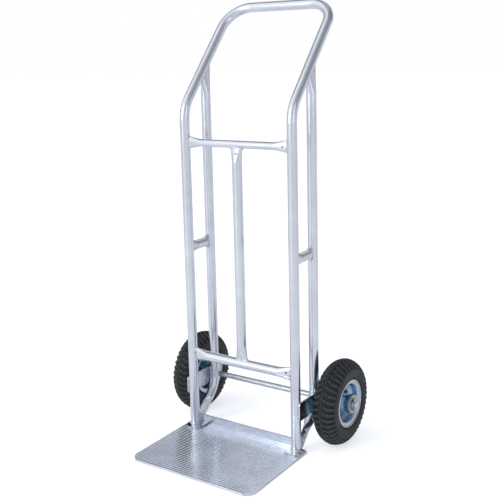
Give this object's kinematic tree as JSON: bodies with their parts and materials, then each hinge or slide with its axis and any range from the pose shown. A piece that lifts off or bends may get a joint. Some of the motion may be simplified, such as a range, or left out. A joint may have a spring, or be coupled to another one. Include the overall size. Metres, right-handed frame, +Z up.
{
  "type": "hand_truck",
  "caption": "A two-wheeled hand truck: a tubular aluminium frame with a slanted loop handle, a ribbed toe plate and pneumatic tyres.",
  "frame": {"origin": "on the floor, under the middle of the bounding box", "axes": "+X across the truck, -Y the side the toe plate points to, +Z up"},
  "size_m": [0.532, 0.472, 1.1225],
  "materials": {
    "polished_aluminium": "polished tube, lightly drawn along its length",
    "plate_aluminium": "mill-finish sheet and extrusion",
    "zinc_steel": "bright zinc plate",
    "zinc_rim": "blue-tinted zinc plate on pressed sheet",
    "bearing_steel": "pale yellow passivated plate",
    "tyre_rubber": "moulded rubber with a block tread",
    "black_rubber": "smooth rubber"
  },
  "bodies": {
    "frame": {"main_tube": "polished_aluminium", "axle": "zinc_steel", "axle_plate_left": "plate_aluminium", "axle_plate_right": "plate_aluminium", "axle_spacers": "zinc_steel", "axle_washers": "zinc_steel", "bearing_cones": "bearing_steel", "centre_tube": "polished_aluminium", "flange_rivets": "zinc_steel", "foot_bracket_left": "plate_aluminium", "foot_bracket_right": "plate_aluminium", "lower_crossbar": "polished_aluminium", "lug_rivets": "zinc_steel", "rear_tube_foot_left": "polished_aluminium", "rear_tube_foot_right": "polished_aluminium", "rear_tube_head_left": "polished_aluminium", "rear_tube_head_right": "polished_aluminium", "rear_tube_left": "polished_aluminium", "rear_tube_right": "polished_aluminium", "side_spacer_left": "polished_aluminium", "side_spacer_right": "polished_aluminium", "split_pins": "zinc_steel", "toe_plate": "plate_aluminium", "upper_crossbar": "polished_aluminium"},
    "wheel_left": {"hub_left": "zinc_rim", "tyre_left": "tyre_rubber", "inner_tube_left": "black_rubber", "rim_outer_left": "zinc_rim", "rim_inner_left": "zinc_rim", "bearing_cups_left": "bearing_steel", "bearing_balls_left": "bearing_steel", "rim_bolts_left": "zinc_steel", "rim_nuts_left": "zinc_steel", "valve_stem_left": "black_rubber", "valve_cap_left": "black_rubber"},
    "wheel_right": {"hub_right": "zinc_rim", "tyre_right": "tyre_rubber", "inner_tube_right": "black_rubber", "rim_outer_right": "zinc_rim", "rim_inner_right": "zinc_rim", "bearing_cups_right": "bearing_steel", "bearing_balls_right": "bearing_steel", "rim_bolts_right": "zinc_steel", "rim_nuts_right": "zinc_steel", "valve_stem_right": "black_rubber", "valve_cap_right": "black_rubber"}
  },
  "joints": [
    {"name": "wheel_left_spin", "type": "hinge", "parent": "frame", "child": "wheel_left", "pos_m": [-0.2215, 0.124, 0.11], "axis": [1, 0, 0], "continuous": true},
    {"name": "wheel_right_spin", "type": "hinge", "parent": "frame", "child": "wheel_right", "pos_m": [0.2215, 0.124, 0.11], "axis": [1, 0, 0], "continuous": true}
  ]
}
